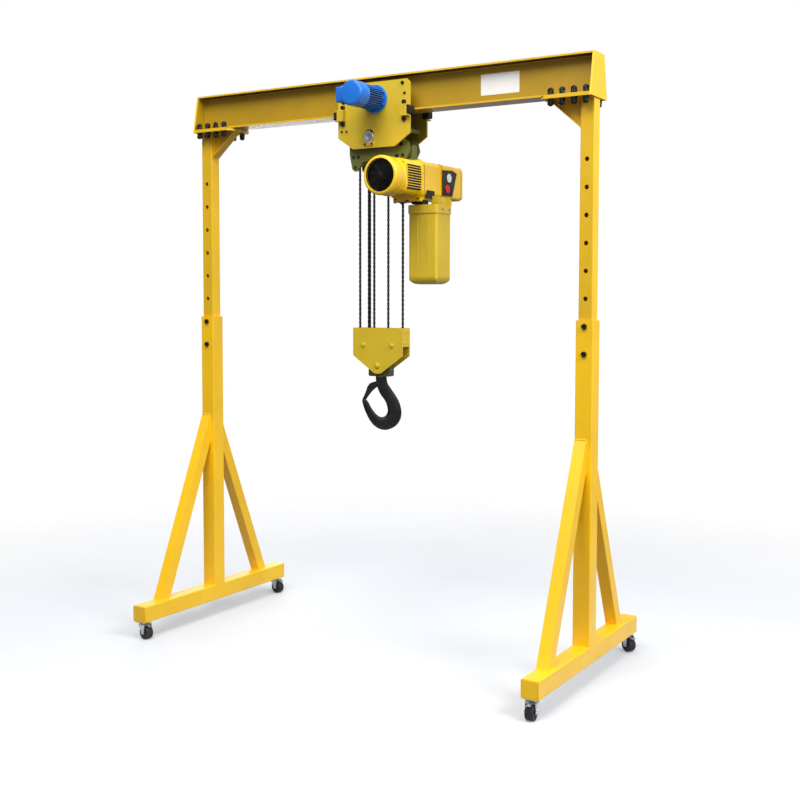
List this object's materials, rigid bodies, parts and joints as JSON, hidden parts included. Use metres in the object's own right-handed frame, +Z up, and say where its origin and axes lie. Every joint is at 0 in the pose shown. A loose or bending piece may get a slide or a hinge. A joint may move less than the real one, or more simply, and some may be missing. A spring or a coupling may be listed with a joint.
{
  "type": "portable gantry crane",
  "caption": "Height-adjustable portable gantry crane: A-frame legs on braked swivel casters, I-beam, powered trolley and electric chain hoist with latched hook block.",
  "frame": {"origin": "on the floor, midway between the two legs and between the two ends of the base rails", "axes": "+Z up, +X along the beam towards the end that carries the placard, -Y the side with the travel motor and the hoist's fan"},
  "size_m": [2.7801, 1.4548, 3.434],
  "materials": {
    "leg_yellow": "gloss enamel",
    "beam_yellow": "gloss enamel",
    "trolley_yellow": "satin enamel",
    "hanger_olive": "satin enamel",
    "hoist_yellow": "gloss enamel",
    "motor_blue": "gloss enamel",
    "zinc": "zinc plated",
    "steel": "machined",
    "black_steel": "black oxide",
    "chain_black": "oiled black",
    "rubber_black": "matt",
    "caster_black": "satin",
    "plastic_black": "moulded",
    "button_white": "moulded",
    "button_red": "moulded",
    "sign_white": "printed sheet"
  },
  "bodies": {
    "left_leg": {"rail_left": "leg_yellow", "post_left": "leg_yellow", "braces_left": "leg_yellow", "lock_bolts_left": "black_steel", "caster_plates_left": "zinc"},
    "right_leg": {"rail_right": "leg_yellow", "post_right": "leg_yellow", "braces_right": "leg_yellow", "lock_bolts_right": "black_steel", "caster_plates_right": "zinc"},
    "upper_frame": {"beam": "beam_yellow", "mast_left": "leg_yellow", "mast_right": "leg_yellow", "flange_bolts": "black_steel", "placard": "sign_white"},
    "trolley": {"side_plate_front": "trolley_yellow", "side_plate_back": "trolley_yellow", "buffers": "rubber_black", "trolley_pins": "steel", "load_pin": "steel", "hanger": "hanger_olive", "travel_motor": "motor_blue", "travel_terminal_box": "motor_blue", "hoist_fan_cowl": "hoist_yellow", "hoist_fan_grille": "plastic_black", "hoist_motor_housing": "hoist_yellow", "hoist_gear_housing": "hoist_yellow", "hoist_control_box": "hoist_yellow", "control_panel": "plastic_black", "chain_bucket": "trolley_yellow", "slack_chain": "chain_black", "chain_falls": "chain_black"},
    "hook_block": {"block_frame": "trolley_yellow", "block_sheave_pins": "trolley_yellow"},
    "caster_fork_front_left_body": {"caster_fork_front_left": "zinc"},
    "caster_wheel_front_left_body": {"caster_wheel_front_left": "caster_black"},
    "caster_pedal_front_left_body": {"caster_pedal_front_left": "zinc"},
    "caster_fork_back_left_body": {"caster_fork_back_left": "zinc"},
    "caster_wheel_back_left_body": {"caster_wheel_back_left": "caster_black"},
    "caster_pedal_back_left_body": {"caster_pedal_back_left": "zinc"},
    "caster_fork_front_right_body": {"caster_fork_front_right": "zinc"},
    "caster_wheel_front_right_body": {"caster_wheel_front_right": "caster_black"},
    "caster_pedal_front_right_body": {"caster_pedal_front_right": "zinc"},
    "caster_fork_back_right_body": {"caster_fork_back_right": "zinc"},
    "caster_wheel_back_right_body": {"caster_wheel_back_right": "caster_black"},
    "caster_pedal_back_right_body": {"caster_pedal_back_right": "zinc"},
    "wheel_front_left": {"trolley_wheel_front_left": "steel"},
    "wheel_back_left": {"trolley_wheel_back_left": "steel"},
    "wheel_front_right": {"trolley_wheel_front_right": "steel"},
    "wheel_back_right": {"trolley_wheel_back_right": "steel"},
    "pinion": {"drive_pinion": "steel"},
    "upper_sheave": {"top_sheave": "steel"},
    "sprocket": {"load_sprocket": "steel"},
    "lower_sheave_left": {"block_sheave_left": "steel"},
    "lower_sheave_right": {"block_sheave_right": "steel"},
    "crosshead_body": {"crosshead": "hanger_olive"},
    "hook_body": {"hook": "black_steel"},
    "latch": {"hook_latch": "black_steel"},
    "raise_button": {"button_raise": "button_white"},
    "stop_button": {"button_stop": "button_red"}
  },
  "joints": [
    {"name": "mast_height", "type": "slide", "parent": "left_leg", "child": "upper_frame", "axis": [0, 0, 1], "range_m": [-0.9, 0]},
    {"name": "right_leg_telescope", "type": "slide", "parent": "upper_frame", "child": "right_leg", "axis": [0, 0, 1], "range_m": [0, 0.9]},
    {"name": "caster_swivel_front_left", "type": "hinge", "parent": "left_leg", "child": "caster_fork_front_left_body", "pos_m": [-1.33, -0.67, 0.095], "axis": [0, 0, 1], "continuous": true},
    {"name": "caster_roll_front_left", "type": "hinge", "parent": "caster_fork_front_left_body", "child": "caster_wheel_front_left_body", "pos_m": [-1.30636, -0.67417, 0.042], "axis": [0.1736, 0.9848, 0], "continuous": true},
    {"name": "caster_brake_front_left", "type": "hinge", "parent": "caster_fork_front_left_body", "child": "caster_pedal_front_left_body", "pos_m": [-1.2847, -0.67799, 0.0865], "axis": [0.1736, 0.9848, 0], "range_deg": [0, 12]},
    {"name": "caster_swivel_back_left", "type": "hinge", "parent": "left_leg", "child": "caster_fork_back_left_body", "pos_m": [-1.33, 0.67, 0.095], "axis": [0, 0, 1], "continuous": true},
    {"name": "caster_roll_back_left", "type": "hinge", "parent": "caster_fork_back_left_body", "child": "caster_wheel_back_left_body", "pos_m": [-1.30636, 0.66583, 0.042], "axis": [0.1736, 0.9848, 0], "continuous": true},
    {"name": "caster_brake_back_left", "type": "hinge", "parent": "caster_fork_back_left_body", "child": "caster_pedal_back_left_body", "pos_m": [-1.2847, 0.66201, 0.0865], "axis": [0.1736, 0.9848, 0], "range_deg": [0, 12]},
    {"name": "caster_swivel_front_right", "type": "hinge", "parent": "right_leg", "child": "caster_fork_front_right_body", "pos_m": [1.33, -0.67, 0.095], "axis": [0, 0, 1], "continuous": true},
    {"name": "caster_roll_front_right", "type": "hinge", "parent": "caster_fork_front_right_body", "child": "caster_wheel_front_right_body", "pos_m": [1.33209, -0.69391, 0.042], "axis": [0.9962, 0.0872, 0], "continuous": true},
    {"name": "caster_brake_front_right", "type": "hinge", "parent": "caster_fork_front_right_body", "child": "caster_pedal_front_right_body", "pos_m": [1.33401, -0.71583, 0.0865], "axis": [0.9962, 0.0872, 0], "range_deg": [0, 12]},
    {"name": "caster_swivel_back_right", "type": "hinge", "parent": "right_leg", "child": "caster_fork_back_right_body", "pos_m": [1.33, 0.67, 0.095], "axis": [0, 0, 1], "continuous": true},
    {"name": "caster_roll_back_right", "type": "hinge", "parent": "caster_fork_back_right_body", "child": "caster_wheel_back_right_body", "pos_m": [1.35078, 0.658, 0.042], "axis": [0.5, 0.866, 0], "continuous": true},
    {"name": "caster_brake_back_right", "type": "hinge", "parent": "caster_fork_back_right_body", "child": "caster_pedal_back_right_body", "pos_m": [1.36984, 0.647, 0.0865], "axis": [0.5, 0.866, 0], "range_deg": [0, 12]},
    {"name": "trolley_travel", "type": "slide", "parent": "upper_frame", "child": "trolley", "axis": [1, 0, 0], "range_m": [-0.77, 0.76]},
    {"name": "trolley_wheel_spin_front_left", "type": "hinge", "parent": "trolley", "child": "wheel_front_left", "pos_m": [-0.105, -0.06, 3.291], "axis": [0, 1, 0], "continuous": true},
    {"name": "trolley_wheel_spin_back_left", "type": "hinge", "parent": "trolley", "child": "wheel_back_left", "pos_m": [-0.105, 0.06, 3.291], "axis": [0, 1, 0], "continuous": true},
    {"name": "trolley_wheel_spin_front_right", "type": "hinge", "parent": "trolley", "child": "wheel_front_right", "pos_m": [0.155, -0.06, 3.291], "axis": [0, 1, 0], "continuous": true},
    {"name": "trolley_wheel_spin_back_right", "type": "hinge", "parent": "trolley", "child": "wheel_back_right", "pos_m": [0.155, 0.06, 3.291], "axis": [0, 1, 0], "continuous": true},
    {"name": "drive_pinion_spin", "type": "hinge", "parent": "trolley", "child": "pinion", "pos_m": [0.025, -0.085, 3.291], "axis": [0, 1, 0], "continuous": true},
    {"name": "hoist_lift", "type": "slide", "parent": "trolley", "child": "hook_block", "axis": [0, 0, 1], "range_m": [-1.25, 0.55], "deforming": ["chain_falls"]},
    {"name": "upper_sheave_spin", "type": "hinge", "parent": "trolley", "child": "upper_sheave", "pos_m": [0, 0, 2.99], "axis": [0, 1, 0], "continuous": true},
    {"name": "sprocket_spin", "type": "hinge", "parent": "trolley", "child": "sprocket", "pos_m": [0.205, 0, 2.814], "axis": [0, 1, 0], "continuous": true},
    {"name": "lower_sheave_left_spin", "type": "hinge", "parent": "hook_block", "child": "lower_sheave_left", "pos_m": [-0.101, 0, 1.841], "axis": [0, 1, 0], "continuous": true},
    {"name": "lower_sheave_right_spin", "type": "hinge", "parent": "hook_block", "child": "lower_sheave_right", "pos_m": [0.101, 0, 1.841], "axis": [0, 1, 0], "continuous": true},
    {"name": "crosshead_tilt", "type": "hinge", "parent": "hook_block", "child": "crosshead_body", "pos_m": [0, 0, 1.717], "axis": [0, 1, 0], "range_deg": [-8, 8]},
    {"name": "hook_swivel", "type": "hinge", "parent": "crosshead_body", "child": "hook_body", "pos_m": [0, 0, 1.64], "axis": [0, 0, 1], "continuous": true},
    {"name": "latch_hinge", "type": "hinge", "parent": "hook_body", "child": "latch", "pos_m": [-0.01886, -0.01133, 1.606], "axis": [-0.515, 0.8572, 0], "range_deg": [-35, 0], "stiffness_Nm_per_rad": 2, "springref_deg": 20.05},
    {"name": "raise_button_push", "type": "slide", "parent": "trolley", "child": "raise_button", "axis": [-1, 0, 0], "range_m": [0, 0.005], "stiffness_N_per_m": 400, "springref_m": -0.004},
    {"name": "stop_button_push", "type": "slide", "parent": "trolley", "child": "stop_button", "axis": [-1, 0, 0], "range_m": [0, 0.005], "stiffness_N_per_m": 400, "springref_m": -0.004}
  ],
  "couplings": [
    {"joint": "right_leg_telescope", "follows": "mast_height", "ratio": -1},
    {"joint": "trolley_wheel_spin_front_left", "follows": "trolley_travel", "rad_per_m": 15.504},
    {"joint": "trolley_wheel_spin_back_left", "follows": "trolley_travel", "rad_per_m": 15.504},
    {"joint": "trolley_wheel_spin_front_right", "follows": "trolley_travel", "rad_per_m": 15.504},
    {"joint": "trolley_wheel_spin_back_right", "follows": "trolley_travel", "rad_per_m": 15.504},
    {"joint": "drive_pinion_spin", "follows": "trolley_travel", "rad_per_m": -24.496},
    {"joint": "upper_sheave_spin", "follows": "hoist_lift", "rad_per_m": 40},
    {"joint": "sprocket_spin", "follows": "hoist_lift", "rad_per_m": 76.923},
    {"joint": "lower_sheave_left_spin", "follows": "hoist_lift", "rad_per_m": -19.608},
    {"joint": "lower_sheave_right_spin", "follows": "hoist_lift", "rad_per_m": -58.824}
  ]
}
